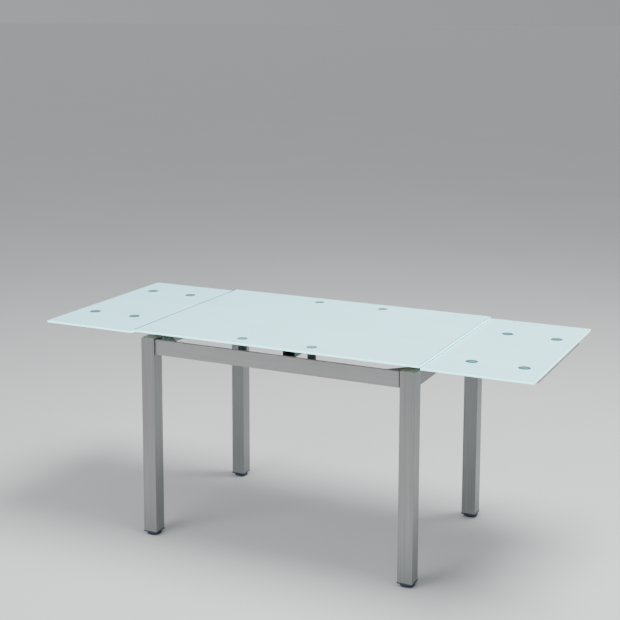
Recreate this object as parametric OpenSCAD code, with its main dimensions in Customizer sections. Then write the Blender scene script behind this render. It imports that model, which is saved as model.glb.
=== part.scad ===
// Extendable glass dining table: a bonded centre glass on a steel leg frame and two
// pull-out glass leaves on side rails.  Units mm, Z up, origin on the floor under the
// centre of the table.  X runs along the table, the front is -Y.  The leaves are drawn
// pulled out, at sliding height, one glass thickness under the centre glass.

/* [Table top] */
// Height of the top of the centre glass
table_h = 760; // [740:5:790]
// Length of the centre glass, which is the closed length of the table
center_len = 1080; // [1080:5:1120]
// Width of the centre glass and of both leaves
table_w = 750; // [740:5:800]
// Thickness of the centre glass
center_t = 6; // [5.5:0.5:8]
// Length of one leaf, and very nearly its travel
leaf_len = 370; // [355:1:372]
// Thickness of the leaf glass
leaf_t = 6; // [5:0.5:8]
// Corner radius of all glass panels
glass_r = 6; // [3:1:10]
// Gap between the centre glass and an open leaf, seen from above
seam_gap = 1.5; // [1:0.5:3]

/* [Leg frame] */
// Length over the outer faces of the legs
frame_len = 1036; // [1020:2:1038]
// Width over the outer faces of the legs
frame_w = 708; // [700:2:720]
// Side of the square leg tube
leg_size = 53; // [48:1:54]
// Wall of the leg tube
leg_wall = 2; // [1.5:0.5:3]
// Height of the aprons
apron_h = 54; // [45:1:60]
// Thickness of the apron tubes
apron_t = 15; // [12:1:15]
// Set-back of the aprons from the outer faces of the legs
apron_inset = 8; // [5:1:8]
// Wall of the apron tubes
apron_wall = 1.5; // [1:0.5:2]

/* [Centre supports] */
// Distance of the support posts from the middle, along the table
post_x = 132; // [124:1:136]
// Diameter of a support post
post_d = 30; // [26:1:32]
// Diameter of the bonded discs
disc_d = 35; // [32:1:36]

/* [Extension rails] */
// Distance between the two rails of one leaf, and between its front and back discs
rail_pitch = 400; // [390:1:410]
// Sideways shift of the rails, so that those of both leaves pass each other
rail_shift = 25; // [22:1:30]
// Width of a rail
rail_w = 20; // [16:1:20]
// Height of a rail
rail_h = 20; // [18:1:22]
// Distance between the inner and outer discs of a leaf
disc_pitch_x = 175; // [170:1:180]
// Length of the bar across the outer ends of the rails
bar_len = 520; // [480:5:540]

/* [Feet] */
// Diameter of a levelling foot
foot_d = 50; // [42:1:50]
// Height of a levelling foot
foot_h = 10; // [8:0.5:12]
// Travel of a levelling foot on its thread
foot_travel = 10; // [5:1:12]

/* [Hidden] */
$fn = 64;
gap = 0.4;
disc_t = 4;
leaf_disc_t = 3;
bracket_t = 3;
center_z = table_h - center_t;
leaf_z = center_z - gap - leaf_t;
lift = table_h - leaf_z - leaf_t;
bracket_z = leaf_z - leaf_disc_t - 0.6 - bracket_t;
rail_z = bracket_z - rail_h;
rail_wall = 2;
apron_top = bracket_z - 16;
leg_top = apron_top + 5;
flange_t = 4;
leg_z = foot_h + 0.5 + flange_t;
leg_x = frame_len / 2 - leg_size / 2;
leg_y = frame_w / 2 - leg_size / 2;
apron_len_x = frame_len - 2 * leg_size;
apron_len_y = frame_w - 2 * leg_size;
apron_out = frame_w / 2 - apron_inset;
apron_in = apron_out - apron_t;
end_out = frame_len / 2 - apron_inset;
end_in = end_out - apron_t;
leaf_x0 = center_len / 2 + seam_gap;
leaf_x1 = leaf_x0 + leaf_len;
travel = leaf_len + seam_gap;
bar_t = 12;
bar_h = 14;
bar_x1 = leaf_x1 - 8;
bar_x0 = bar_x1 - bar_t;
rail_x0 = 150;
rail_y = [-rail_shift - rail_pitch / 2, -rail_shift + rail_pitch / 2];
disc_x = [leaf_x0 + 122, leaf_x0 + 122 + disc_pitch_x];
slide_gap = 0.5;
channel_wall = 2.5;
channel_w = rail_w + 2 * slide_gap + 2 * channel_wall;
channel_floor = 2;
channel_z = rail_z - slide_gap - channel_floor;
channel_top = bracket_z - 9.2;
channel_x0 = -20;
gusset_z = channel_z - 5.5;
beam_y = rail_shift + rail_pitch / 2 - 5;
stop_x = frame_len / 2 - 35;
pin_r = 5;
bush_r = 6.8;
post_y = frame_w / 2 - 42;
post_z = apron_top - 15;
stud_r = 4;
stud_top = leg_z + 26;

LEG = [0.60, 0.61, 0.61];
DARK = [0.20, 0.22, 0.24];
GLASS = [0.80, 0.87, 0.89];
STEEL = [0.55, 0.58, 0.59];
PLASTIC = [0.16, 0.20, 0.27];
NYLON = [0.30, 0.31, 0.32];

// A slab with rounded upright corners, x from 0, centred on y
module slab(l, w, t, r) {
    translate([r, -w / 2, 0])
        cube([l - 2 * r, w, t]);
    translate([0, -w / 2 + r, 0])
        cube([l, w - 2 * r, t]);
    for (x = [r, l - r], y = [-w / 2 + r, w / 2 - r])
        translate([x, y, 0])
            cylinder(h = t, r = r);
}

// Puts its children at both ends of the table, turned half round
module side(s) {
    rotate([0, 0, s == "left" ? 180 : 0])
        children();
}

module at_corners(x, y) {
    for (sx = [-1, 1], sy = [-1, 1])
        translate([sx * x, sy * y, 0])
            children();
}

module leg(sx, sy) {
    color(LEG)
    translate([sx * leg_x, sy * leg_y, leg_z])
    difference() {
        translate([-leg_size / 2, -leg_size / 2, 0])
            cube([leg_size, leg_size, leg_top - 2 - leg_z]);
        translate([-leg_size / 2 + leg_wall, -leg_size / 2 + leg_wall, -1])
            cube([leg_size - 2 * leg_wall, leg_size - 2 * leg_wall, leg_top]);
    }
}

module leg_front_left() leg(-1, -1);
module leg_front_right() leg(1, -1);
module leg_back_left() leg(-1, 1);
module leg_back_right() leg(1, 1);

module leg_top_caps() {
    color(DARK)
    at_corners(leg_x, leg_y)
    union() {
        translate([-leg_size / 2, -leg_size / 2, leg_top - 2])
            cube([leg_size, leg_size, 2]);
        translate([-leg_size / 2 + leg_wall, -leg_size / 2 + leg_wall, leg_top - 14])
            cube([leg_size - 2 * leg_wall, leg_size - 2 * leg_wall, 12.5]);
    }
}

module foot_inserts() {
    color(PLASTIC)
    at_corners(leg_x, leg_y)
    difference() {
        union() {
            translate([-leg_size / 2 - 1.5, -leg_size / 2 - 1.5, leg_z - flange_t])
                cube([leg_size + 3, leg_size + 3, flange_t]);
            translate([-leg_size / 2 + leg_wall, -leg_size / 2 + leg_wall, leg_z - 0.5])
                cube([leg_size - 2 * leg_wall, leg_size - 2 * leg_wall, 30.5]);
        }
        translate([0, 0, leg_z - flange_t - 1])
            cylinder(h = 60, r = stud_r + 0.06);
    }
}

module levelling_foot(sx, sy) {
    color(PLASTIC)
    translate([sx * leg_x, sy * leg_y, 0])
    union() {
        cylinder(h = 2, r1 = foot_d / 2 - 1.5, r2 = foot_d / 2);
        translate([0, 0, 2])
            cylinder(h = foot_h - 3.5, r = foot_d / 2);
        translate([0, 0, foot_h - 1.5])
            cylinder(h = 1.5, r1 = foot_d / 2, r2 = foot_d / 2 - 3);
        translate([0, 0, foot_h - 1])
            cylinder(h = stud_top - foot_h + 1, r = stud_r);
    }
}

module foot_front_left() levelling_foot(-1, -1);
module foot_front_right() levelling_foot(1, -1);
module foot_back_left() levelling_foot(-1, 1);
module foot_back_right() levelling_foot(1, 1);

// Closed rectangular tube along X, from x0 to x1, y0 to y1, z0 to z1
module tube_x(x0, x1, y0, y1, z0, z1, wall) {
    difference() {
        translate([x0, y0, z0])
            cube([x1 - x0, y1 - y0, z1 - z0]);
        translate([x0 - 1, y0 + wall, z0 + wall])
            cube([x1 - x0 + 2, y1 - y0 - 2 * wall, z1 - z0 - 2 * wall]);
    }
}

module long_apron(sy) {
    color(LEG)
    tube_x(-apron_len_x / 2, apron_len_x / 2,
           sy > 0 ? apron_in : -apron_out, sy > 0 ? apron_out : -apron_in,
           apron_top - apron_h, apron_top, apron_wall);
}

module apron_front() long_apron(-1);
module apron_back() long_apron(1);

// End apron with two notches for the rail channels
module end_apron() {
    color(LEG)
    difference() {
        translate([end_in, -apron_len_y / 2, apron_top - apron_h])
            cube([apron_t, apron_len_y, apron_h]);
        translate([end_in + apron_wall, -apron_len_y / 2 - 1, apron_top - apron_h + apron_wall])
            cube([apron_t - 2 * apron_wall, apron_len_y + 2, apron_h - 2 * apron_wall]);
        for (y = rail_y)
            translate([end_in - 1, y - channel_w / 2, channel_z])
                cube([apron_t + 2, channel_w, apron_h]);
    }
}

module apron_right() side("right") end_apron();
module apron_left() side("left") end_apron();

module corner_gussets() {
    color(STEEL)
    for (sx = [0, 1], sy = [0, 1])
        mirror([sx, 0, 0])
        mirror([0, sy, 0])
        translate([0, 0, gusset_z])
        difference() {
            linear_extrude(height = 4)
                polygon([
                    [end_in - 120, apron_in],
                    [frame_len / 2 - leg_size, apron_in],
                    [frame_len / 2 - leg_size, frame_w / 2 - leg_size],
                    [end_in, frame_w / 2 - leg_size],
                    [end_in, apron_in - 120]]);
            translate([end_in - 58, apron_in - 32, -1])
                cylinder(h = 6, r = 3.2);
            translate([end_in - 32, apron_in - 58, -1])
                cylinder(h = 6, r = 3.2);
        }
}

// Hexagon head, shank and nut of one frame bolt, its head resting on z = 0
module frame_bolt() {
    cylinder(h = 3, r = 5.2, $fn = 6);
    translate([0, 0, -9])
        cylinder(h = 10, r = 3);
    translate([0, 0, -8])
        cylinder(h = 4, r = 5.2, $fn = 6);
}

module gusset_bolts() {
    color(STEEL)
    for (sx = [0, 1], sy = [0, 1])
        mirror([sx, 0, 0])
        mirror([0, sy, 0])
        translate([0, 0, gusset_z + 4]) {
            translate([end_in - 58, apron_in - 32, 0])
                frame_bolt();
            translate([end_in - 32, apron_in - 58, 0])
                frame_bolt();
        }
}

// Short tube across the middle, under the inner ends of the four channels
module center_beam() {
    color(DARK)
    difference() {
        translate([-24, -beam_y, channel_z - 30])
            cube([48, 2 * beam_y, 30]);
        translate([-22, -beam_y - 1, channel_z - 28])
            cube([44, 2 * beam_y + 2, 26]);
    }
}

// Angle bracket on the inner face of a long apron, with a hole for the post screw
module support_brackets() {
    color(DARK)
    for (sx = [-1, 1], sy = [0, 1])
        mirror([0, sy, 0])
        translate([sx * post_x, 0, 0])
        difference() {
            union() {
                translate([-25, post_y - post_d / 2 - 1, post_z - 4])
                    cube([50, apron_in - post_y + post_d / 2 + 1, 4]);
                translate([-25, apron_in - 4, post_z - 34])
                    cube([50, 4, 32]);
            }
            translate([0, post_y, post_z - 5])
                cylinder(h = 6, r = 4.2);
        }
}

module support_posts() {
    color(DARK)
    at_corners(post_x, post_y)
    difference() {
        translate([0, 0, post_z])
            cylinder(h = center_z - disc_t - post_z, r = post_d / 2);
        translate([0, 0, post_z - 1])
            cylinder(h = 21, r = 4);
    }
}

module post_screws() {
    color(STEEL)
    at_corners(post_x, post_y)
    union() {
        translate([0, 0, post_z - 9])
            cylinder(h = 5, r = 7);
        translate([0, 0, post_z - 4.5])
            cylinder(h = 22, r = 4);
    }
}

module center_discs() {
    color(STEEL)
    at_corners(post_x, post_y)
    translate([0, 0, center_z - disc_t])
        cylinder(h = disc_t, r = disc_d / 2);
}

module glass_center() {
    color(GLASS)
    translate([-center_len / 2, 0, center_z])
        slab(center_len, table_w, center_t, glass_r);
}

// Fixed channel that one rail slides in, open at the top
module channel(y) {
    color(STEEL)
    translate([channel_x0, y - channel_w / 2, channel_z])
    difference() {
        cube([end_out - channel_x0, channel_w, channel_top - channel_z]);
        translate([-1, channel_wall, channel_floor])
            cube([end_out - channel_x0 + 2, channel_w - 2 * channel_wall, 60]);
    }
}

module channel_right_front() side("right") channel(rail_y[0]);
module channel_right_back() side("right") channel(rail_y[1]);
module channel_left_back() side("left") channel(rail_y[0]);
module channel_left_front() side("left") channel(rail_y[1]);

// Nylon saddle that holds the inner end of a rail down
module rail_keepers() {
    color(NYLON)
    for (s = ["right", "left"])
        side(s)
        for (y = rail_y)
            translate([rail_x0 + 5, y, 0])
            union() {
                translate([0, -channel_w / 2, channel_top])
                    cube([25, channel_wall, bracket_z + 1 - channel_top]);
                translate([0, channel_w / 2 - channel_wall, channel_top])
                    cube([25, channel_wall, bracket_z + 1 - channel_top]);
                translate([0, -channel_w / 2, bracket_z + 0.5])
                    cube([25, channel_w, 3]);
            }
}

// Studs on the channel floors that run in a slot under each rail and end its travel
module stop_studs() {
    color(STEEL)
    for (s = ["right", "left"])
        side(s)
        for (y = rail_y)
            translate([stop_x, y, channel_z + channel_floor])
                cylinder(h = 6, r = 3);
}

module rail(y) {
    color(STEEL)
    difference() {
        tube_x(rail_x0, bar_x0, y - rail_w / 2, y + rail_w / 2, rail_z, bracket_z, rail_wall);
        translate([stop_x, y - 3.6, rail_z - 1])
            cube([travel, 7.2, 4]);
        for (x = [stop_x, stop_x + travel])
            translate([x, y, rail_z - 1])
                cylinder(h = 4, r = 3.6);
        for (x = disc_x)
            translate([x, y, bracket_z - rail_wall - 1])
                cylinder(h = rail_wall + 2, r = bush_r + 0.4);
    }
}

module rail_right_front() side("right") rail(rail_y[0]);
module rail_right_back() side("right") rail(rail_y[1]);
module rail_left_back() side("left") rail(rail_y[0]);
module rail_left_front() side("left") rail(rail_y[1]);

// Plastic plugs in the inner ends of the two rails of one leaf
module plugs() {
    color(NYLON)
    for (y = rail_y)
        union() {
            translate([rail_x0 - 2, y - rail_w / 2, rail_z])
                cube([2, rail_w, rail_h]);
            translate([rail_x0 - 0.5, y - rail_w / 2 + rail_wall, rail_z + rail_wall])
                cube([15, rail_w - 2 * rail_wall, rail_h - 2 * rail_wall]);
        }
}

module rail_plugs_right() side("right") plugs();
module rail_plugs_left() side("left") plugs();

// Bar that joins the outer ends of the two rails under the end of a leaf
module end_bar() {
    color(STEEL)
    translate([bar_x0, -rail_shift - bar_len / 2, bracket_z - bar_h])
        cube([bar_t, bar_len, bar_h]);
}

module end_bar_right() side("right") end_bar();
module end_bar_left() side("left") end_bar();

// Flat strip across the rails just outside the leg frame, with a shallow relief that lets
// a rail of the other leaf pass under it when both leaves are in
module tie_strip() {
    color(STEEL)
    difference() {
        translate([leaf_x0 + 30, rail_y[0] - rail_w / 2, bracket_z])
            cube([40, rail_pitch + rail_w, 3]);
        translate([leaf_x0 + 29, -rail_y[1] - rail_w / 2 - 2, bracket_z - 1])
            cube([42, rail_w + 4, 1.6]);
    }
}

module tie_strip_right() side("right") tie_strip();
module tie_strip_left() side("left") tie_strip();

// Four pads on the rails, each with a guide bush that hangs into the rail for one lift pin
module pads() {
    color(DARK)
    for (x = disc_x, y = rail_y)
        difference() {
            union() {
                translate([x - 18, y - rail_w / 2, bracket_z])
                    cube([36, rail_w, bracket_t]);
                translate([x, y, bracket_z - 8.7])
                    cylinder(h = 10, r = bush_r);
            }
            translate([x, y, bracket_z - 10])
                cylinder(h = 20, r = pin_r + 0.06);
        }
}

module lift_pads_right() side("right") pads();
module lift_pads_left() side("left") pads();

module leaf_pins() {
    color(STEEL)
    for (x = disc_x, y = rail_y)
        translate([x, y, bracket_z - 8.7])
            cylinder(h = leaf_z - leaf_disc_t - bracket_z + 8.7, r = pin_r);
}

module lift_pins_right() side("right") leaf_pins();
module lift_pins_left() side("left") leaf_pins();

module leaf_discs() {
    color(STEEL)
    for (x = disc_x, y = rail_y)
        translate([x, y, leaf_z - leaf_disc_t])
            cylinder(h = leaf_disc_t, r = disc_d / 2);
}

module leaf_discs_right() side("right") leaf_discs();
module leaf_discs_left() side("left") leaf_discs();

module leaf() {
    color(GLASS)
    translate([leaf_x0, 0, leaf_z])
        slab(leaf_len, table_w, leaf_t, glass_r);
}

module glass_leaf_right() side("right") leaf();
module glass_leaf_left() side("left") leaf();

leg_front_left();
leg_front_right();
leg_back_left();
leg_back_right();
leg_top_caps();
foot_inserts();
foot_front_left();
foot_front_right();
foot_back_left();
foot_back_right();
apron_front();
apron_back();
apron_right();
apron_left();
corner_gussets();
gusset_bolts();
center_beam();
support_brackets();
support_posts();
post_screws();
center_discs();
glass_center();
channel_right_front();
channel_right_back();
channel_left_front();
channel_left_back();
rail_keepers();
stop_studs();
rail_right_front();
rail_right_back();
rail_left_front();
rail_left_back();
rail_plugs_right();
rail_plugs_left();
end_bar_right();
end_bar_left();
tie_strip_right();
tie_strip_left();
lift_pads_right();
lift_pads_left();
lift_pins_right();
lift_pins_left();
leaf_discs_right();
leaf_discs_left();
glass_leaf_right();
glass_leaf_left();
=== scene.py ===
"""Extendable dining table: pale glass top with two pull-out leaves on a satin silver leg frame."""

from math import cos, pi, radians, sin

import bmesh
import bpy
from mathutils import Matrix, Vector
from mathutils.geometry import delaunay_2d_cdt


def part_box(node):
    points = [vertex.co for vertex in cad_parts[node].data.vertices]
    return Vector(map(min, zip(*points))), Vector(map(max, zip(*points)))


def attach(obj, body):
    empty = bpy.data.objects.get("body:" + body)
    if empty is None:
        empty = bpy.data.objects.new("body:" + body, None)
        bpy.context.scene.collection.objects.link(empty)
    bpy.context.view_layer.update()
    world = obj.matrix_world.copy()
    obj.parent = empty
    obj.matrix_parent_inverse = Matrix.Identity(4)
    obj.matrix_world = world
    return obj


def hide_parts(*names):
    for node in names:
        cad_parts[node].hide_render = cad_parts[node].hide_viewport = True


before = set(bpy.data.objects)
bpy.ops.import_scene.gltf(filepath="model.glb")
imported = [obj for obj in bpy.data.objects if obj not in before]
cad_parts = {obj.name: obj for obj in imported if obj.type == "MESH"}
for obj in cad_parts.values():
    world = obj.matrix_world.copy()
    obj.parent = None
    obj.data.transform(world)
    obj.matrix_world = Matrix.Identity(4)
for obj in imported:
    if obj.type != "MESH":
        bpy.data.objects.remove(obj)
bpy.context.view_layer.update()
MM = 0.001


# ---------------------------------------------------------------- camera and light

CAMERA_PLACE = (1.8817, -3.9811, 1.8368)
CAMERA_DOWN, CAMERA_ROLL, CAMERA_TURN = 8.132, -0.221, 25.234
SENSOR_WIDTH = 36.0
LENS = 72.43
SHIFT = (-0.0137, -0.1766)
FAR_END = 2000.0


def make_camera():
    """The camera, as fitted to the outlines of the table in the photograph."""
    data = bpy.data.cameras.new("camera")
    data.sensor_width = SENSOR_WIDTH
    data.lens = LENS
    data.shift_x, data.shift_y = SHIFT
    data.clip_end = FAR_END
    camera = bpy.data.objects.new("camera", data)
    camera.location = CAMERA_PLACE
    camera.rotation_euler = [radians(a) for a in (90.0 - CAMERA_DOWN, CAMERA_ROLL, CAMERA_TURN)]
    bpy.context.scene.collection.objects.link(camera)
    bpy.context.scene.camera = camera


SKY = (0.93, 0.95, 0.97)
SKY_STRENGTH = 0.80
# Brightness of the dome at the horizon, and at its far left and right, as shares of the sky's.
HORIZON = 0.52
LEFT_SKY = 1.15
RIGHT_SKY = 0.55
# Heights on a dome of radius 1 between which the horizon's brightness turns into the sky's.
HAZE_TOP = 0.02
CLEAR_SKY = 0.5
SOFTBOX_SIZE = 2.2


def softbox(name, location, target, power, colour):
    """A square area light that faces its target."""
    data = bpy.data.lights.new(name, "AREA")
    data.shape = "SQUARE"
    data.size = SOFTBOX_SIZE
    data.energy = power
    data.color = colour
    light = bpy.data.objects.new(name, data)
    light.location = location
    aim = Vector(target) - Vector(location)
    light.rotation_euler = aim.to_track_quat("-Z", "Y").to_euler()
    bpy.context.scene.collection.objects.link(light)


def scaled(colour, factor):
    """A colour made lighter or darker by a factor."""
    return tuple(min(1.0, c * factor) for c in colour)


def make_light():
    """A dome that is darker towards the horizon and towards +X, and two soft boxes."""
    world = bpy.data.worlds.new("studio")
    bpy.context.scene.world = world
    world.use_nodes = True
    tree = world.node_tree
    where = tree.nodes.new("ShaderNodeTexCoord")
    direction = tree.nodes.new("ShaderNodeSeparateXYZ")
    tree.links.new(where.outputs["Generated"], direction.inputs["Vector"])
    ramp = tree.nodes.new("ShaderNodeValToRGB")
    ramp.color_ramp.interpolation = "EASE"
    low, high = ramp.color_ramp.elements
    low.position, low.color = HAZE_TOP, (*scaled(SKY, HORIZON), 1.0)
    high.position, high.color = CLEAR_SKY, (*SKY, 1.0)
    tree.links.new(direction.outputs["Z"], ramp.inputs["Fac"])
    across = tree.nodes.new("ShaderNodeMapRange")
    for socket, value in (("From Min", -1.0), ("From Max", 1.0),
                          ("To Min", LEFT_SKY), ("To Max", RIGHT_SKY)):
        across.inputs[socket].default_value = value
    tree.links.new(direction.outputs["X"], across.inputs["Value"])
    dimmed = tree.nodes.new("ShaderNodeVectorMath")
    dimmed.operation = "SCALE"
    tree.links.new(ramp.outputs["Color"], dimmed.inputs[0])
    tree.links.new(across.outputs["Result"], dimmed.inputs["Scale"])
    tree.links.new(dimmed.outputs["Vector"], tree.nodes["Background"].inputs["Color"])
    tree.nodes["Background"].inputs["Strength"].default_value = SKY_STRENGTH
    softbox("key", (-1.5, -3.0, 2.9), (0.0, 0.0, 0.65), 88.0, (1.0, 0.99, 0.975))
    softbox("top", (1.2, 0.3, 4.2), (0.4, 0.0, 0.7), 350.0, (1.0, 1.0, 1.0))


# ---------------------------------------------------------------- mesh helpers

SHARP_ANGLE = radians(50.0)
SAME_POINT = 1e-7
CORNER_STEPS = 5
ROUND_STEPS = 64


def object_from(bm, name, materials):
    """Turns a bmesh into a linked object with smooth faces that keep their flat areas flat."""
    bmesh.ops.remove_doubles(bm, verts=bm.verts, dist=SAME_POINT)
    bmesh.ops.recalc_face_normals(bm, faces=bm.faces)
    for face in bm.faces:
        face.smooth = True
    for edge in bm.edges:
        if len(edge.link_faces) != 2 or edge.calc_face_angle(0.0) > SHARP_ANGLE:
            edge.smooth = False
    mesh = bpy.data.meshes.new(name)
    bm.to_mesh(mesh)
    bm.free()
    obj = bpy.data.objects.new(name, mesh)
    bpy.context.scene.collection.objects.link(obj)
    for material in materials:
        mesh.materials.append(material)
    weighted = obj.modifiers.new("weighted_normals", "WEIGHTED_NORMAL")
    weighted.keep_sharp = True
    return obj


def middle_of(low, high):
    """The middle of a box, seen from above."""
    return ((low.x + high.x) / 2, (low.y + high.y) / 2)


def rounded_rectangle(width, depth, radius, centre):
    """Points of a rectangle with round corners, anticlockwise."""
    points = []
    corners = ((1, 1, 0.0), (-1, 1, pi / 2), (-1, -1, pi), (1, -1, 3 * pi / 2))
    for sx, sy, start in corners:
        cx = centre[0] + sx * (width / 2 - radius)
        cy = centre[1] + sy * (depth / 2 - radius)
        for k in range(CORNER_STEPS + 1):
            angle = start + k * pi / 2 / CORNER_STEPS
            points.append((cx + radius * cos(angle), cy + radius * sin(angle)))
    return points


def circle(radius, centre, steps=ROUND_STEPS):
    """Points of a circle, anticlockwise."""
    return [(centre[0] + radius * cos(2 * pi * k / steps),
             centre[1] + radius * sin(2 * pi * k / steps)) for k in range(steps)]


def place(point, height, axis):
    """A profile point at a height along an axis: x along the table, y across it or z upright."""
    u, v = point
    if axis == "x":
        return (height, u, v)
    if axis == "y":
        return (u, height, v)
    return (u, v, height)


def add_ring(bm, points, height, axis="z"):
    """Vertices at the points of a profile."""
    return [bm.verts.new(place(p, height, axis)) for p in points]


def bridge(bm, low, high, material=0):
    """Quads between two rings with the same number of points. material is an index, or gives one
    for the middle of a quad."""
    count = len(low)
    for i in range(count):
        j = (i + 1) % count
        face = bm.faces.new((low[i], low[j], high[j], high[i]))
        middle = face.calc_center_median()
        face.material_index = material(middle) if callable(material) else material


def fill(bm, rings, keep=None, material=None):
    """Fills a flat area that one outer ring bounds and inner rings cut. keep says whether a
    triangle is wanted and material gives its index, both from the triangle's middle."""
    verts = [v for ring in rings for v in ring]
    edges = []
    start = 0
    for ring in rings:
        count = len(ring)
        edges += [(start + i, start + (i + 1) % count) for i in range(count)]
        start += count
    flat = [Vector((v.co.x, v.co.y)) for v in verts]
    _, _, triangles, sources, _, _ = delaunay_2d_cdt(flat, edges, [], 1, 1e-9)
    origin = [verts[ids[0]] for ids in sources]
    for triangle in triangles:
        corners = [origin[i] for i in triangle]
        middle = sum((c.co for c in corners), Vector()) / 3
        if keep is None or keep(middle):
            face = bm.faces.new(corners)
            face.material_index = material(middle) if material else 0


def loft(bm, rings, material=0):
    """Bridges rings in order and closes both ends."""
    for low, high in zip(rings, rings[1:]):
        bridge(bm, low, high, material)
    for end in (rings[0], rings[-1]):
        bm.faces.new(end).material_index = material


def lathe(bm, profile, centre, steps, ribs=0, rib_depth=0.0):
    """Turns (radius, height, ribbed) points round an upright axis and closes both ends."""
    rings = []
    for radius, height, ribbed in profile:
        points = []
        for k in range(steps):
            angle = 2 * pi * k / steps
            cut = rib_depth * abs(sin(ribs * angle / 2)) if ribbed else 0.0
            points.append((centre[0] + (radius - cut) * cos(angle),
                           centre[1] + (radius - cut) * sin(angle)))
        rings.append(add_ring(bm, points, height))
    loft(bm, rings)


def solids(node):
    """(lowest corner, highest corner) of each separate solid of a CAD node."""
    bm = bmesh.new()
    bm.from_mesh(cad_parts[node].data)
    bmesh.ops.remove_doubles(bm, verts=bm.verts, dist=1e-6)
    left = set(bm.verts)
    boxes = []
    while left:
        todo = [left.pop()]
        found = list(todo)
        while todo:
            vert = todo.pop()
            for edge in vert.link_edges:
                other = edge.other_vert(vert)
                if other in left:
                    left.remove(other)
                    todo.append(other)
                    found.append(other)
        co = [v.co for v in found]
        boxes.append((Vector(min(c[i] for c in co) for i in range(3)),
                      Vector(max(c[i] for c in co) for i in range(3))))
    bm.free()
    return sorted(boxes, key=lambda box: [round(c, 5) for c in box[0]])


# ---------------------------------------------------------------- materials

GLASS_IOR = 1.5
# How far the softened normal turns away from the true one, as 1 minus the cosine, where an edge
# begins to show and where it shows fully.
EDGE_BEGINS, EDGE_FULL = 0.02, 0.22


class Shader:
    """A material with its principled shader and a short way to add nodes."""

    def __init__(self, name, **sockets):
        self.material = bpy.data.materials.new(name)
        self.material.use_nodes = True
        self.tree = self.material.node_tree
        self.principled = self.tree.nodes["Principled BSDF"]
        for socket, value in sockets.items():
            self.principled.inputs[socket.replace("_", " ")].default_value = value

    def add(self, kind, sockets=None, **settings):
        """A node with its settings, and its sockets linked or set."""
        node = self.tree.nodes.new(kind)
        for key, value in settings.items():
            setattr(node, key, value)
        for key, value in (sockets or {}).items():
            if isinstance(value, bpy.types.NodeSocket):
                self.tree.links.new(value, node.inputs[key])
            else:
                node.inputs[key].default_value = value
        return node

    def noise(self, scale, detail, stretch=(1.0, 1.0, 1.0), roughness=0.5):
        """Noise in the object's own space. A small factor stretches it along that axis."""
        where = self.add("ShaderNodeTexCoord").outputs["Object"]
        mapping = self.add("ShaderNodeMapping", {"Vector": where, "Scale": stretch})
        node = self.add("ShaderNodeTexNoise", {"Vector": mapping.outputs["Vector"], "Scale": scale,
                                               "Detail": detail, "Roughness": roughness})
        return node.outputs["Fac"]

    def span(self, value, low, high, from_low=0.3, from_high=0.7):
        """Maps noise, which stays mostly between 0.3 and 0.7, to low..high."""
        node = self.add("ShaderNodeMapRange", {"Value": value,
                                               "From Min": from_low, "From Max": from_high,
                                               "To Min": low, "To Max": high})
        return node.outputs["Result"]

    def mix(self, factor, low, high):
        """A colour between two, each a colour or a socket."""
        node = self.add("ShaderNodeMix", data_type="RGBA")
        for key, value in ((0, factor), (6, low), (7, high)):
            if isinstance(value, bpy.types.NodeSocket):
                self.tree.links.new(value, node.inputs[key])
            elif key == 0:
                node.inputs[0].default_value = value
            else:
                node.inputs[key].default_value = (*value, 1.0)
        return node.outputs[2]

    def maths(self, operation, a, b):
        """The result of an operation on two numbers or sockets."""
        node = self.add("ShaderNodeMath", {0: a, 1: b}, operation=operation)
        return node.outputs["Value"]

    def blotched(self, noise, colour, dark, light):
        """A colour that wanders between a darker and a lighter shade of itself."""
        return self.mix(self.span(noise, 0.0, 1.0), scaled(colour, dark), scaled(colour, light))

    def blended(self, a, b, share):
        """Two heights or tones added up: a with this share of the sum and b with the rest."""
        return self.maths("ADD", self.maths("MULTIPLY", a, share),
                          self.maths("MULTIPLY", b, 1.0 - share))

    def edges(self, radius):
        """1 along the edges of the piece and 0 on its flat areas."""
        soft = self.add("ShaderNodeBevel", {"Radius": radius}, samples=4).outputs["Normal"]
        flat = self.add("ShaderNodeNewGeometry").outputs["Normal"]
        dot = self.add("ShaderNodeVectorMath", {0: soft, 1: flat}, operation="DOT_PRODUCT")
        away = self.maths("SUBTRACT", 1.0, dot.outputs["Value"])
        return self.span(away, 0.0, 1.0, EDGE_BEGINS, EDGE_FULL)

    def bump(self, height, strength, distance):
        """Surface relief of a height in metres."""
        node = self.add("ShaderNodeBump", {"Height": height, "Strength": strength,
                                           "Distance": distance})
        self.set("Normal", node.outputs["Normal"])

    def set(self, socket, output):
        """Links a node's output to the principled shader."""
        self.tree.links.new(output, self.principled.inputs[socket])


def painted_metal(name, colour, grain, metallic=0.5, rough=(0.34, 0.46), wear=0.5, lines=0.35):
    """Satin metallic paint: fine streaks and drawn lines along the tube, faint cloudiness, orange
    peel and brighter worn edges."""
    shader = Shader(name, Metallic=metallic)
    streaks = shader.noise(900.0, 2.0, stretch=grain)
    drawn = shader.noise(210.0, 1.0, stretch=grain)
    clouds = shader.noise(5.0, 2.0)
    peel = shader.noise(700.0, 2.0)
    tone = shader.blotched(clouds, colour, 0.95, 1.04)
    tone = shader.mix(shader.span(streaks, 0.0, 0.35), tone, scaled(colour, 0.82))
    tone = shader.mix(shader.span(drawn, 0.0, lines), tone, scaled(colour, 0.78))
    rubs = shader.span(shader.noise(60.0, 4.0), 0.2, wear)
    worn = shader.maths("MULTIPLY", shader.edges(1.2 * MM), rubs)
    tone = shader.mix(worn, tone, scaled(colour, 1.45))
    shader.set("Base Color", tone)
    shader.set("Roughness", shader.span(shader.blended(streaks, clouds, 0.5), *rough))
    shader.bump(shader.blended(peel, streaks, 0.6), 0.25, 0.12 * MM)
    return shader.material


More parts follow.
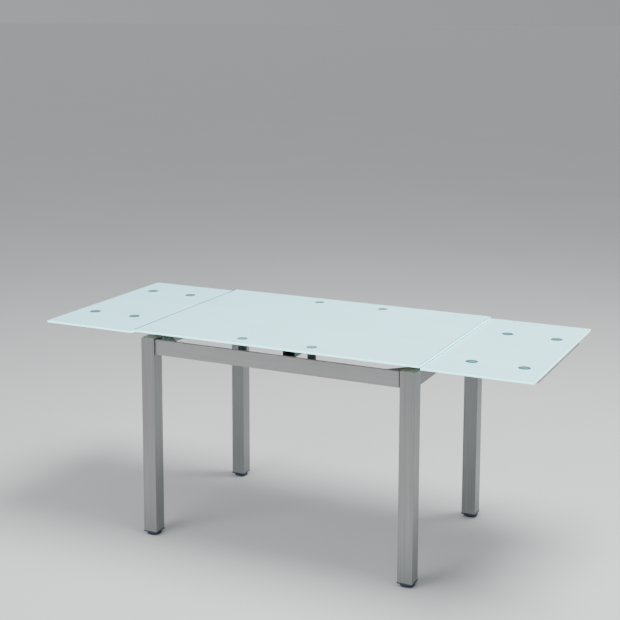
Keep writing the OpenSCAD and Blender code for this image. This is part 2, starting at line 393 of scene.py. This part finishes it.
def bare_metal(name, colour, rough, grain=(1.0, 1.0, 1.0), spangle=0.0):
    """Plated or brushed metal: fine brushing, zinc spangle where asked for, small stains and
    brighter edges."""
    shader = Shader(name, Metallic=0.9)
    brushing = shader.noise(1200.0, 2.0, stretch=grain)
    stains = shader.noise(24.0, 5.0, roughness=0.65)
    tone = shader.blotched(stains, colour, 0.86, 1.06)
    tone = shader.mix(shader.span(brushing, 0.0, 0.3), tone, scaled(colour, 0.7))
    if spangle:
        where = shader.add("ShaderNodeTexCoord").outputs["Object"]
        cells = shader.add("ShaderNodeTexVoronoi", {"Vector": where, "Scale": 140.0}, feature="F1")
        grey = shader.add("ShaderNodeRGBToBW", {"Color": cells.outputs["Color"]}).outputs["Val"]
        tone = shader.mix(shader.maths("MULTIPLY", grey, spangle), tone, scaled(colour, 1.3))
    worn = shader.maths("MULTIPLY", shader.edges(0.8 * MM), 0.3)
    tone = shader.mix(worn, tone, scaled(colour, 1.4))
    shader.set("Base Color", tone)
    shader.set("Roughness", shader.span(stains, *rough))
    shader.bump(brushing, 0.2, 0.1 * MM)
    return shader.material


def moulded_plastic(name, colour):
    """Injection moulded plastic: spark-eroded texture, dusty patches and paler rubbed edges."""
    shader = Shader(name, Specular_IOR_Level=0.45)
    texture = shader.noise(1500.0, 3.0)
    patches = shader.noise(40.0, 4.0)
    tone = shader.blotched(patches, colour, 0.82, 1.12)
    rubbed = shader.maths("MULTIPLY", shader.edges(0.8 * MM), 0.35)
    tone = shader.mix(rubbed, tone, scaled(colour, 1.9))
    shader.set("Base Color", tone)
    shader.set("Roughness", shader.span(patches, 0.42, 0.58))
    shader.bump(texture, 0.35, 0.15 * MM)
    return shader.material


def glass_face(name, colour):
    """Back-painted glass seen from above: faint roller clouds in the paint and wiped streaks in
    the gloss."""
    shader = Shader(name, IOR=GLASS_IOR, Specular_IOR_Level=0.4)
    clouds = shader.noise(2.2, 3.0)
    speckle = shader.noise(420.0, 2.0)
    wiped = shader.noise(9.0, 4.0, stretch=(0.35, 1.6, 1.0))
    tone = shader.blotched(clouds, colour, 0.985, 1.015)
    tone = shader.mix(shader.span(speckle, 0.0, 0.12), tone, scaled(colour, 0.93))
    shader.set("Base Color", tone)
    shader.set("Roughness", shader.span(wiped, 0.30, 0.42))
    shader.bump(speckle, 0.05, 0.05 * MM)
    return shader.material


def glass_edge(name, colour):
    """Polished edge: the sea-green of a long path through the glass, which gathers light from
    inside, with fine lines from the polishing wheel. Its emission adds painted light: the edge
    glows though it is no lamp."""
    # painted light: the emission makes the edge glow on its own, on top of the subsurface light
    shader = Shader(name, IOR=GLASS_IOR, Subsurface_Weight=0.6, Subsurface_Scale=6.0 * MM,
                    Subsurface_Radius=(0.7, 1.0, 1.0), Emission_Strength=2.2,
                    Emission_Color=(*colour, 1.0))
    lines = shader.noise(900.0, 2.0, stretch=(0.02, 0.02, 1.0))
    patches = shader.noise(30.0, 3.0)
    tone = shader.mix(shader.span(lines, 0.0, 0.5), colour, scaled(colour, 0.9))
    tone = shader.mix(shader.span(patches, 0.0, 0.4), tone, scaled(colour, 1.05))
    shader.set("Base Color", tone)
    shader.set("Roughness", shader.span(patches, 0.08, 0.2))
    shader.bump(lines, 0.15, 0.08 * MM)
    return shader.material


def seam_shade_margin(name, colour):
    """Painted shade of the gaps at the centre panel's seams, drawn as a clear rim of the glass
    beyond its lacquer: darker, greener and slightly uneven.
    """
    shader = Shader(name, IOR=GLASS_IOR, Specular_IOR_Level=0.3)
    uneven = shader.noise(260.0, 4.0)
    shader.set("Base Color", shader.blotched(uneven, colour, 0.8, 1.3))
    shader.set("Roughness", shader.span(uneven, 0.15, 0.3))
    shader.bump(uneven, 0.05, 0.05 * MM)
    return shader.material


def glass_back(name, colour):
    """Lacquered underside: matt, with the stipple of a roller."""
    shader = Shader(name, Specular_IOR_Level=0.3)
    stipple = shader.noise(330.0, 4.0)
    patches = shader.noise(6.0, 3.0)
    shader.set("Base Color", shader.blotched(patches, colour, 0.93, 1.03))
    shader.set("Roughness", shader.span(stipple, 0.55, 0.75))
    shader.bump(stipple, 0.4, 0.2 * MM)
    return shader.material


def disc_window(name, rim, middle):
    """A bonded steel disc seen through the glass: turned rings on a lighter middle, and a dark rim
    that is painted shade at the disc's edge under the glass.
    Its UV runs from 0 at the middle of the window to 1 at its rim."""
    shader = Shader(name, IOR=GLASS_IOR, Specular_IOR_Level=0.2)
    uv = shader.add("ShaderNodeUVMap", uv_map=WINDOW_UV).outputs["UV"]
    radius = shader.add("ShaderNodeVectorMath", {0: uv}, operation="LENGTH").outputs["Value"]
    wobble = shader.maths("ADD", radius, shader.span(shader.noise(160.0, 3.0), -0.05, 0.05))
    # painted shade: towards its edge the window darkens to the rim colour
    rim_shade = shader.span(wobble, 0.0, 1.0, 0.55, 0.86)
    outward = shader.add("ShaderNodeCombineXYZ", {"X": radius}).outputs["Vector"]
    turned = shader.add("ShaderNodeTexNoise", {"Vector": outward, "Scale": 30.0,
                                               "Detail": 2.0}).outputs["Fac"]
    tone = shader.mix(shader.span(turned, 0.0, 0.6), middle, scaled(middle, 0.8))
    shader.set("Base Color", shader.mix(rim_shade, tone, rim))
    shader.set("Roughness", shader.span(turned, 0.28, 0.4))
    shader.bump(turned, 0.1, 0.1 * MM)
    return shader.material


GRAIN = 0.012
ALONG_X = (GRAIN, 1.0, 1.0)
ALONG_Y = (1.0, GRAIN, 1.0)
ALONG_Z = (1.0, 1.0, GRAIN)
SATIN_DARK = {"metallic": 0.2, "rough": (0.42, 0.6), "wear": 0.7}
SILVER = (0.301, 0.312, 0.309)
AQUA_WHITE = (0.445, 0.90, 0.985)
WINDOW_UV = "disc_place"

PAINT_UPRIGHT = painted_metal("silver_paint_upright", scaled(SILVER, 1.01), ALONG_Z, lines=0.8)
# painted light: a lighter copy of the one silver paint, for the front and back aprons
PAINT_LONG_LIT = painted_metal("silver_paint_long_painted_light", scaled(SILVER, 1.20), ALONG_X)
# painted shade: a darker copy of the one silver paint, for the end aprons under the leaves
PAINT_CROSS_SHADED = painted_metal("silver_paint_cross_painted_shade", scaled(SILVER, 0.78), ALONG_Y)
FACE = glass_face("back_painted_glass", AQUA_WHITE)
GLOWING_EDGE = glass_edge("polished_glass_edge_painted_glow", (0.42, 0.97, 1.0))
BACK = glass_back("lacquered_back", (0.60, 0.66, 0.66))
# the rim colours are painted shade at the edges of the discs
WINDOW = disc_window("bonded_disc", (0.012, 0.07, 0.078), (0.075, 0.18, 0.19))
PALE_WINDOW = disc_window("bonded_centre_disc", (0.035, 0.12, 0.13), (0.13, 0.26, 0.27))
SEAM_SHADE = seam_shade_margin("clear_margin_painted_seam_shade", (0.055, 0.13, 0.14))
DISC_STEEL = bare_metal("turned_steel", (0.50, 0.51, 0.51), (0.25, 0.4))
ZINC_LONG = bare_metal("zinc_plated_long", (0.42, 0.43, 0.43), (0.3, 0.5), ALONG_X, spangle=0.25)
ZINC = bare_metal("zinc_plated", (0.45, 0.46, 0.46), (0.3, 0.5), spangle=0.2)
GUSSET_STEEL = bare_metal("zinc_plated_plate", (0.29, 0.30, 0.23), (0.4, 0.6), spangle=0.3)
DARK_STEEL = painted_metal("dark_painted_steel", (0.055, 0.062, 0.06), ALONG_Y, **SATIN_DARK)
BEAM_STEEL = painted_metal("beam_steel", (0.13, 0.15, 0.135), ALONG_Y, **SATIN_DARK)
ALUMINIUM = bare_metal("drawn_aluminium", (0.86, 0.86, 0.85), (0.34, 0.48), ALONG_Y)
# partly painted reflection: the olive-green tint stands for the aqua glass mirrored in the caps;
# the grey is the plastic's own
CAP_PLASTIC_GLASS_TINT = moulded_plastic("cap_plastic", (0.295, 0.305, 0.225))
FOOT_PLASTIC = moulded_plastic("foot_plastic", (0.035, 0.05, 0.085))
NYLON = moulded_plastic("black_nylon", (0.03, 0.03, 0.032))
PALE_PLASTIC = moulded_plastic("pale_plastic", (0.50, 0.51, 0.51))


FLOOR_SIZE = 900.0
FLOOR_GAP = 0.2 * MM
FLOOR_SHADES = ((0.545, 0.55, 0.555), (0.57, 0.575, 0.58))


def make_floor():
    """A plain pale floor to the horizon, just below the feet."""
    shader = Shader("studio_floor", Specular_IOR_Level=0.2)
    patches = shader.noise(0.8, 3.0)
    shader.set("Base Color", shader.mix(shader.span(patches, 0.0, 1.0), *FLOOR_SHADES))
    shader.set("Roughness", shader.span(patches, 0.6, 0.7))
    shader.bump(shader.noise(180.0, 3.0), 0.05, 0.3 * MM)
    bm = bmesh.new()
    bmesh.ops.create_grid(bm, x_segments=8, y_segments=8, size=FLOOR_SIZE)
    mesh = bpy.data.meshes.new("studio_floor")
    bm.to_mesh(mesh)
    bm.free()
    mesh.materials.append(shader.material)
    floor = bpy.data.objects.new("studio_floor", mesh)
    floor.location.z = -FLOOR_GAP
    bpy.context.scene.collection.objects.link(floor)


# ---------------------------------------------------------------- glass

ARRIS = 0.9 * MM
GLASS_CORNER = 6.0 * MM
# Widths of the dark strips at the centre panel's short edges: painted shade of the seam gaps, wider
# on the left.
LEFT_SEAM_SHADE_WIDTH = 5.8 * MM
RIGHT_SEAM_SHADE_WIDTH = 2.8 * MM
SIDE_BAND = 3.6 * MM
LEAF_WINDOW = 1.18
CENTRE_WINDOW = 1.06
LACQUER_FACE, EDGE_FACE, BACK_FACE, WINDOW_FACE, SEAM_SHADE_FACE = range(5)


def glass_panel(name, node, discs, body, window, margin):
    """A glass panel with ground arrises. The bonded discs show through windows in its lacquer,
    which are wider than a disc by the factor window. With margin, the lacquer stops short of the
    two short edges in dark strips of painted shade for the seam gaps, and the windows are paler:
    that is the centre panel."""
    low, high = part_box(node)
    width, depth = high.x - low.x, high.y - low.y
    centre = middle_of(low, high)
    bm = bmesh.new()
    uv = bm.loops.layers.uv.new(WINDOW_UV)
    rings = []
    for inset, height in ((1.0, low.z), (0.3, low.z + 0.3 * ARRIS), (0.0, low.z + ARRIS),
                          (0.0, high.z - ARRIS), (0.3, high.z - 0.3 * ARRIS), (1.0, high.z)):
        cut = inset * ARRIS
        outline = rounded_rectangle(width - 2 * cut, depth - 2 * cut, GLASS_CORNER - cut, centre)
        rings.append(add_ring(bm, outline, height))
    for low_ring, high_ring in zip(rings, rings[1:]):
        bridge(bm, low_ring, high_ring, EDGE_FACE)
    bm.faces.new(rings[0]).material_index = BACK_FACE
    left, right = low.x + ARRIS + LEFT_SEAM_SHADE_WIDTH, high.x - ARRIS - RIGHT_SEAM_SHADE_WIDTH
    lacquer = rounded_rectangle(right - left, depth - 2 * (ARRIS + SIDE_BAND),
                                GLASS_CORNER - ARRIS - SIDE_BAND, ((left + right) / 2, centre[1]))
    inner = add_ring(bm, lacquer, high.z)

    # on the centre panel the strips beyond left and right are painted shade of the seam gaps
    def border(point):
        return SEAM_SHADE_FACE if margin and not left < point.x < right else LACQUER_FACE

    bridge(bm, rings[-1], inner, border)
    spots = [(*middle_of(a, b), window * (b.x - a.x) / 2) for a, b in solids(discs)]
    windows = [add_ring(bm, circle(r, (x, y)), high.z) for x, y, r in spots]

    def spot_of(point):
        for x, y, r in spots:
            if (point.x - x) ** 2 + (point.y - y) ** 2 < r * r:
                return x, y, r
        return None

    fill(bm, [inner, *windows], material=lambda p: WINDOW_FACE if spot_of(p) else LACQUER_FACE)
    for face in bm.faces:
        if face.material_index == WINDOW_FACE:
            x, y, r = spot_of(face.calc_center_median())
            for loop in face.loops:
                loop[uv].uv = ((loop.vert.co.x - x) / r, (loop.vert.co.y - y) / r)
    materials = [FACE, GLOWING_EDGE, BACK, PALE_WINDOW if margin else WINDOW, SEAM_SHADE]
    panel = object_from(bm, name, materials)
    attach(panel, body)
    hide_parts(node)


# ---------------------------------------------------------------- leg frame

TUBE_CORNER = 1.6 * MM
INNER_CORNER = 0.4 * MM
LEG_WALL = 2.0 * MM
APRON_WALL = 1.5 * MM
LEFT_GASKET = 1.0 * MM
# painted shade: the long gasket at one end of each apron is a dark strip for the leg's contact
# shadow
SHADE_GASKET_LENGTH = 6.0 * MM
GASKET_INSET = 1.0 * MM
GASKET_PLUG = 9.0 * MM
CAP_LID = 2.0 * MM
CAP_PLUG_CUT = 4.4 * MM


def square_tube(name, node, wall, material, axis, body, trim=(0.0, 0.0)):
    """A drawn tube along z or x with open ends and round corners outside and in. trim is how
    much shorter than its node it is at the low and the high end."""
    low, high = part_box(node)
    if axis == "z":
        u, v, ends = (low.x, high.x), (low.y, high.y), (low.z, high.z)
    else:
        u, v, ends = (low.y, high.y), (low.z, high.z), (low.x, high.x)
    centre = ((u[0] + u[1]) / 2, (v[0] + v[1]) / 2)
    size = (u[1] - u[0], v[1] - v[0])
    corner = min(TUBE_CORNER, size[0] / 4)
    outer = rounded_rectangle(*size, corner, centre)
    inner = rounded_rectangle(size[0] - 2 * wall, size[1] - 2 * wall,
                              max(corner - wall, INNER_CORNER), centre)
    bm = bmesh.new()
    start, end = ends[0] + trim[0], ends[1] - trim[1]
    walls = [add_ring(bm, points, height, axis) for points, height in
             ((outer, start), (outer, end), (inner, end), (inner, start))]
    for a, b in zip(walls, walls[1:] + walls[:1]):
        bridge(bm, a, b)
    tube = object_from(bm, name, [material])
    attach(tube, body)
    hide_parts(node)


def gasket_ends(side):
    """Gasket lengths at the low and high end of an apron. The back apron is the front one turned
    half round."""
    return (LEFT_GASKET, SHADE_GASKET_LENGTH) if side == "front" else (SHADE_GASKET_LENGTH, LEFT_GASKET)


def apron_gaskets_and_shade(name, node, lengths):
    """Dark plastic end pieces between an apron tube and its two legs, set back a little from the
    tube's faces, each with a tapered plug into the tube. The long one at one end is painted shade:
    a dark strip where the leg's contact shadow falls on the apron."""
    low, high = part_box(node)
    centre = ((low.y + high.y) / 2, (low.z + high.z) / 2)
    size = (high.y - low.y - GASKET_INSET, high.z - low.z - GASKET_INSET)
    bm = bmesh.new()
    for end, way, length in ((low.x, 1.0, lengths[0]), (high.x, -1.0, lengths[1])):
        steps = ((0.0, 0.0), (0.4 * MM, 0.2 * MM), (0.4 * MM, length), (2.4 * MM, length),
                 (2.8 * MM, length + GASKET_PLUG))
        loft(bm, [add_ring(bm, rounded_rectangle(size[0] - cut, size[1] - cut, 1.0 * MM, centre),
                           end + way * depth, "x") for cut, depth in steps])
    gaskets = object_from(bm, name, [NYLON])
    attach(gaskets, "frame")
    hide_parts(node)


def leg_caps():
    """Push-in caps on the leg tubes: a thin rounded lid with a shallow dish, on a plug inside the
    tube."""
    bm = bmesh.new()
    for low, high in solids("leg_top_caps"):
        size = high.x - low.x
        centre = middle_of(low, high)
        lid = high.z - CAP_LID
        plug = size - CAP_PLUG_CUT
        steps = ((plug, low.z), (plug, lid),
                 (size - 0.4 * MM, lid), (size - 0.2 * MM, lid + 0.5 * MM),
                 (size - 0.5 * MM, high.z - 0.6 * MM), (size - 1.8 * MM, high.z - 0.1 * MM),
                 (size - 4 * MM, high.z), (size - 9 * MM, high.z),
                 (size - 11 * MM, high.z - 0.5 * MM))
        loft(bm, [add_ring(bm, rounded_rectangle(s, s, TUBE_CORNER, centre), z) for s, z in steps])
    caps = object_from(bm, "leg_end_caps", [CAP_PLASTIC_GLASS_TINT])
    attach(caps, "frame")
    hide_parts("leg_top_caps")


INSERT_FLANGE = 4.0 * MM
INSERT_PLUG_CUT = 7.4 * MM
STUD_HOLE = 4.06 * MM
STUD_STEPS = 40


def leg_inserts():
    """Plastic inserts at the bottom of the leg tubes: a rounded flange below the tube, a plug
    inside it and a bore for the foot's stud."""
    bm = bmesh.new()
    for low, high in solids("foot_inserts"):
        size = high.x - low.x
        centre = middle_of(low, high)
        flange = low.z + INSERT_FLANGE
        plug = size - INSERT_PLUG_CUT
        steps = ((size - 2.4 * MM, low.z), (size - 0.8 * MM, low.z + 0.5 * MM),
                 (size, low.z + 1.4 * MM), (size, flange - 0.8 * MM), (size - 1.2 * MM, flange),
                 (plug, flange), (plug, high.z))
        corner = TUBE_CORNER + 1 * MM
        rings = [add_ring(bm, rounded_rectangle(s, s, corner, centre), z) for s, z in steps]
        for a, b in zip(rings, rings[1:]):
            bridge(bm, a, b)
        bore = [add_ring(bm, circle(STUD_HOLE, centre, STUD_STEPS), z) for z in (low.z, high.z)]
        bridge(bm, *bore)

        def outside_bore(point, centre=centre):
            return (point.x - centre[0]) ** 2 + (point.y - centre[1]) ** 2 > STUD_HOLE ** 2

        fill(bm, [rings[0], bore[0]], keep=outside_bore)
        fill(bm, [rings[-1], bore[1]], keep=outside_bore)
    inserts = object_from(bm, "leg_inserts", [FOOT_PLASTIC])
    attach(inserts, "frame")
    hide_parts("foot_inserts")


FOOT_HEIGHT = 10.0 * MM
RIM_RIBS = 45
RIM_STEPS = 4 * RIM_RIBS
RIB_DEPTH = 0.55 * MM
THREAD_PITCH = 1.25 * MM
THREAD_CREST = 3.95 * MM
THREAD_ROOT = 3.45 * MM


def levelling_foot(node, body):
    """A moulded foot with a ribbed rim, on a threaded steel stud."""
    low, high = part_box(node)
    centre = middle_of(low, high)
    radius = (high.x - low.x) / 2
    top = low.z + FOOT_HEIGHT
    bm = bmesh.new()
    pad = ((0.72 * radius, 0.0, 0), (radius - 1.8 * MM, 0.0, 0), (radius - 0.9 * MM, 0.5 * MM, 0),
           (radius - 0.3 * MM, 1.6 * MM, 1), (radius, 2.4 * MM, 1), (radius, 7.4 * MM, 1),
           (radius - 0.5 * MM, 8.3 * MM, 1), (radius - 1.6 * MM, 9.2 * MM, 0),
           (radius - 3.2 * MM, 9.7 * MM, 0), (0.55 * radius, FOOT_HEIGHT, 0),
           (4.6 * MM, FOOT_HEIGHT, 0))
    lathe(bm, [(r, low.z + z, ribbed) for r, z, ribbed in pad], centre, RIM_STEPS, RIM_RIBS,
          RIB_DEPTH)
    foot = object_from(bm, node + "_pad", [FOOT_PLASTIC])
    bm = bmesh.new()
    thread = [(3.4 * MM, top - 1.5 * MM, 0)]
    height = top - 1.2 * MM
    while height + THREAD_PITCH < high.z - 1.0 * MM:
        thread += [(THREAD_CREST, height, 0), (THREAD_ROOT, height + 0.5 * THREAD_PITCH, 0)]
        height += THREAD_PITCH
    thread += [(3.9 * MM, height, 0), (3.0 * MM, high.z, 0)]
    lathe(bm, thread, centre, STUD_STEPS)
    stud = object_from(bm, node + "_stud", [ZINC])
    for piece in (foot, stud):
        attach(piece, body)
        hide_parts(node)


# ---------------------------------------------------------------- leaf carriages

GROOVE = 1.3 * MM
BAR_PLUG = 3.0 * MM
BAR_FACE, PLUG_FACE = range(2)


def pull_bar(name, node, body):
    """Drawn bar across the rail ends: round edges, a shallow finger groove outside and push-in
    end plugs."""
    low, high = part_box(node)
    outward = 1.0 if low.x > 0 else -1.0
    thick, tall = high.x - low.x, high.z - low.z
    middle = ((low.x + high.x) / 2, (low.z + high.z) / 2)
    face = thick / 2
    half = [(-face + 1.2 * MM, tall / 2), (face - 2.2 * MM, tall / 2),
            (face - 1.1 * MM, tall / 2 - 0.3 * MM), (face - 0.3 * MM, tall / 2 - 1.1 * MM),
            (face, tall / 2 - 2.2 * MM), (face, 0.20 * tall),
            (face - 0.5 * GROOVE, 0.15 * tall), (face - GROOVE, 0.08 * tall)]
    mirrored = [(u, -v) for u, v in reversed(half)]
    back = [(-face + 0.3 * MM, -tall / 2 + 0.3 * MM), (-face, -tall / 2 + 1.2 * MM),
            (-face, tall / 2 - 1.2 * MM), (-face + 0.3 * MM, tall / 2 - 0.3 * MM)]
    profile = [(middle[0] + outward * u, middle[1] + v) for u, v in half + mirrored + back]
    shoulders = (low.y + BAR_PLUG, high.y - BAR_PLUG)
    bm = bmesh.new()
    loft(bm, [add_ring(bm, profile, y, "y") for y in shoulders], BAR_FACE)
    for end, inner in zip((low.y, high.y), shoulders):
        section = rounded_rectangle(thick, tall, 2.2 * MM, middle)
        smaller = rounded_rectangle(thick - 1.6 * MM, tall - 1.6 * MM, 1.6 * MM, middle)
        outer = end + (inner - end) * 0.35
        loft(bm, [add_ring(bm, section, inner, "y"), add_ring(bm, section, outer, "y"),
                  add_ring(bm, smaller, end, "y")], PLUG_FACE)
    bar = object_from(bm, name, [ALUMINIUM, PALE_PLASTIC])
    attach(bar, body)
    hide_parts(node)


WELD_DISTANCE = 0.01 * MM
BEVEL_ANGLE = radians(40.0)


def keep_node(node, material, edge=0.3 * MM):
    """A CAD node that stays: its edges are broken by a small bevel and it gets its material."""
    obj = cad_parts[node]
    obj.data.materials.clear()
    obj.data.materials.append(material)
    weld = obj.modifiers.new("weld", "WELD")
    weld.merge_threshold = WELD_DISTANCE
    bevel = obj.modifiers.new("edge_break", "BEVEL")
    bevel.width = edge
    bevel.segments = 2
    bevel.limit_method = "ANGLE"
    bevel.angle_limit = BEVEL_ANGLE
    bevel.use_clamp_overlap = True
    bevel.harden_normals = True


# ---------------------------------------------------------------- the table

make_camera()
make_floor()
make_light()

glass_panel("center_glass_panel", "glass_center", "center_discs", "frame",
            CENTRE_WINDOW, True)
for side in ("right", "left"):
    glass_panel(side + "_leaf_glass_panel", "glass_leaf_" + side, "leaf_discs_" + side,
                side + "_leaf", LEAF_WINDOW, False)

CORNERS = {"front_left": "foot_fl", "front_right": "foot_fr",
           "back_left": "foot_bl", "back_right": "foot_br"}
for corner in CORNERS:
    square_tube("leg_tube_" + corner, "leg_" + corner, LEG_WALL, PAINT_UPRIGHT, "z",
                "frame")
for side in ("front", "back"):
    square_tube("apron_tube_" + side, "apron_" + side, APRON_WALL, PAINT_LONG_LIT, "x",
                "frame", trim=gasket_ends(side))
    apron_gaskets_and_shade("apron_gaskets_and_shade_" + side, "apron_" + side, gasket_ends(side))
leg_caps()
leg_inserts()
for corner, body in CORNERS.items():
    levelling_foot("foot_" + corner, body)
for side in ("right", "left"):
    pull_bar("pull_bar_" + side, "end_bar_" + side, side + "_carriage")
    keep_node("apron_" + side, PAINT_CROSS_SHADED, 0.6 * MM)
    keep_node("tie_strip_" + side, ZINC)
    keep_node("lift_pads_" + side, DARK_STEEL, 0.4 * MM)
    keep_node("lift_pins_" + side, ZINC)
    keep_node("leaf_discs_" + side, DISC_STEEL, 0.4 * MM)
    keep_node("rail_plugs_" + side, NYLON)
    for row in ("front", "back"):
        keep_node(f"rail_{side}_{row}", ZINC_LONG, 0.5 * MM)
        keep_node(f"channel_{side}_{row}", ZINC_LONG)
keep_node("corner_gussets", GUSSET_STEEL, 0.4 * MM)
keep_node("gusset_bolts", ZINC, 0.25 * MM)
keep_node("center_beam", BEAM_STEEL, 0.6 * MM)
keep_node("support_brackets", DARK_STEEL, 0.4 * MM)
keep_node("support_posts", DARK_STEEL, 0.6 * MM)
keep_node("post_screws", ZINC)
keep_node("center_discs", DISC_STEEL, 0.4 * MM)
keep_node("rail_keepers", NYLON, 0.4 * MM)
keep_node("stop_studs", ZINC)
